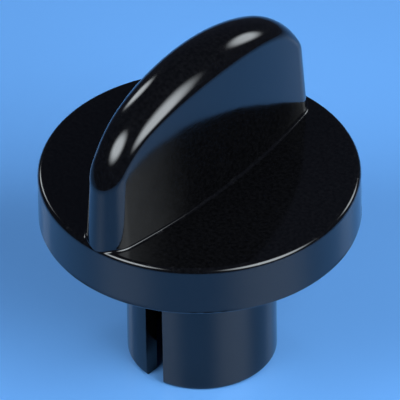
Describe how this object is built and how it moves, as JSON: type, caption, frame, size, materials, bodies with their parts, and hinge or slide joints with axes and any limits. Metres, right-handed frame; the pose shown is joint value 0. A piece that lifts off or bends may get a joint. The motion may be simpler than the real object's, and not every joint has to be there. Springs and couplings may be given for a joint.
{
  "type": "gas control knob",
  "caption": "Black moulded gas control knob with a tall wing grip on a round skirt, a slotted hub sleeve below and a D-shaped spindle socket held by a leaf spring.",
  "frame": {"origin": "centre of the hub's end face, at the bottom of the knob as it stands", "axes": "+Z along the knob's axis from the hub to the grip, -Y towards the pointer end of the grip and the hub's slot"},
  "size_m": [0.06, 0.06, 0.0702],
  "materials": {
    "black_moulding": "glossy moulded phenolic",
    "spring_steel": "bright rolled strip"
  },
  "bodies": {
    "root": {"knob_body": "black_moulding", "spindle_spring": "spring_steel"}
  },
  "joints": []
}
